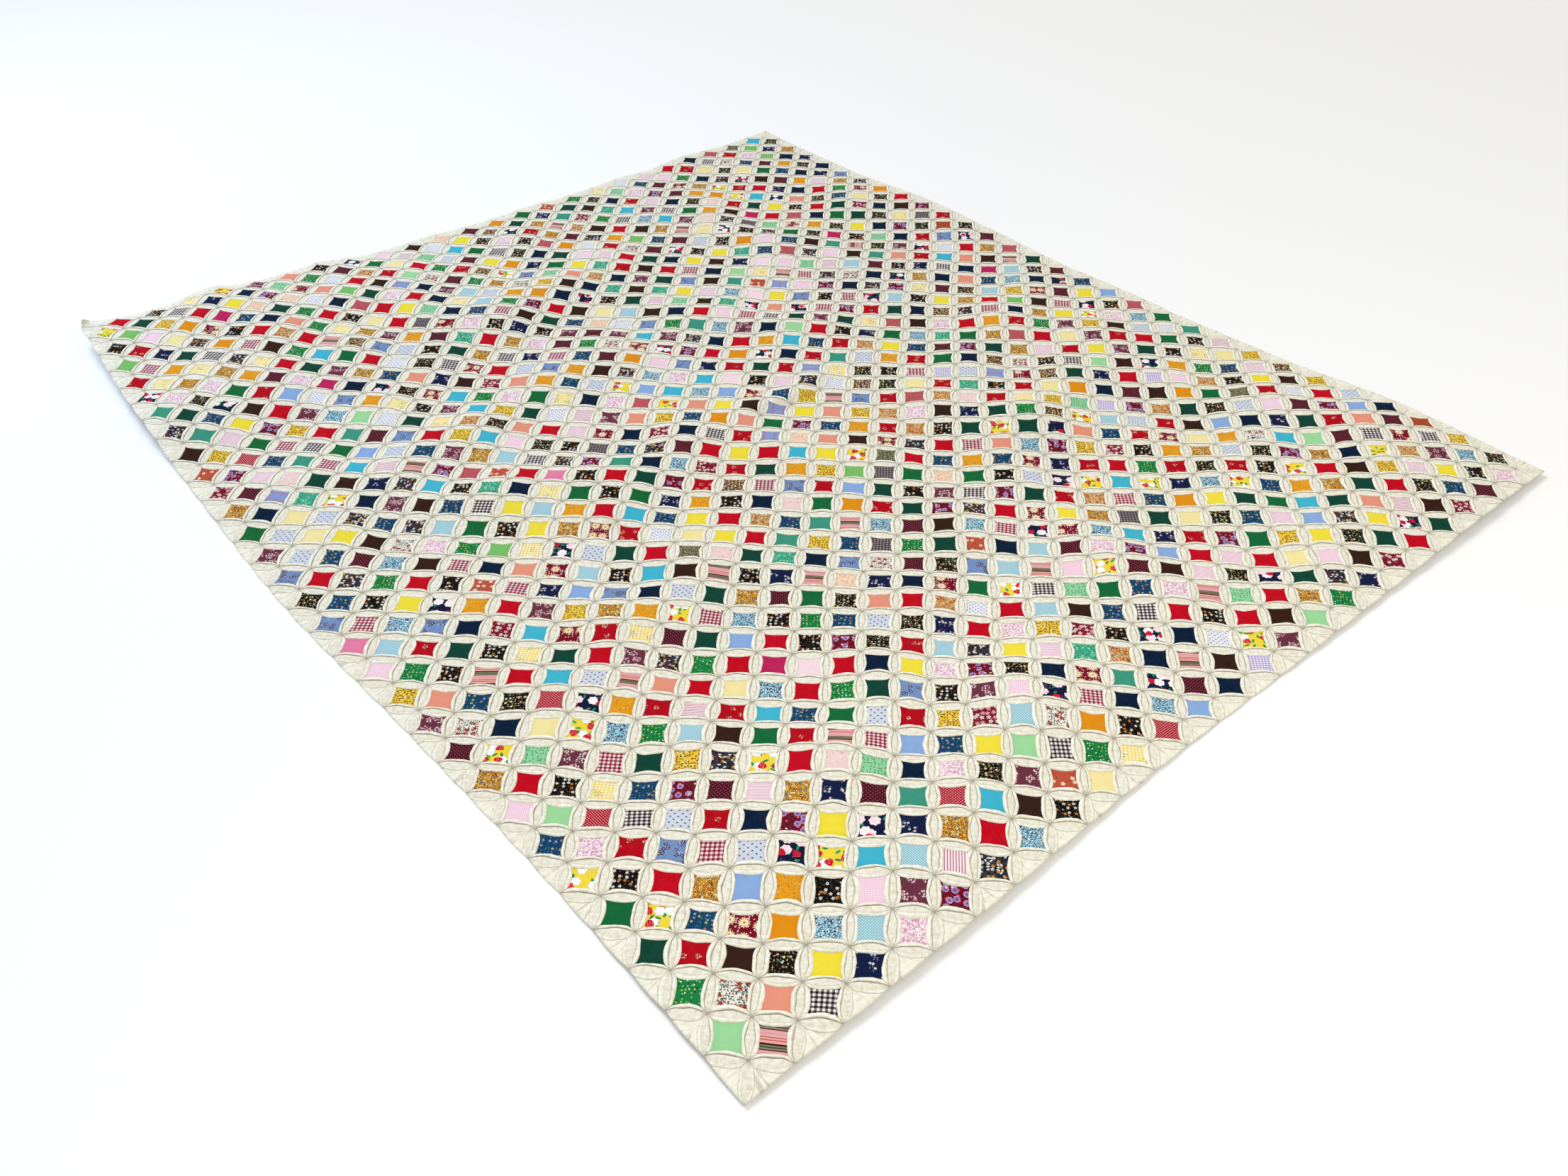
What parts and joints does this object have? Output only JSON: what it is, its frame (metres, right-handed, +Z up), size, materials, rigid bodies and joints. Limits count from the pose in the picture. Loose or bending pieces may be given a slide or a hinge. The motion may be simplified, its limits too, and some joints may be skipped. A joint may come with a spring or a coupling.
{
  "type": "patchwork quilt",
  "caption": "Thin one-layer cathedral window patchwork quilt, laid out flat with soft swells and ripples, to cover a bed or lie on a floor.",
  "frame": {"origin": "middle of the quilt's box, on the surface that it lies on", "axes": "+X across the quilt, +Y along it from the near end to the far end, +Z up"},
  "size_m": [1.939, 2.311, 0.0472],
  "materials": {
    "muslin": "unbleached cotton muslin, folded into blocks, with cotton print patches under its rolled folds"
  },
  "bodies": {
    "root": {"quilt": "muslin"}
  },
  "joints": []
}
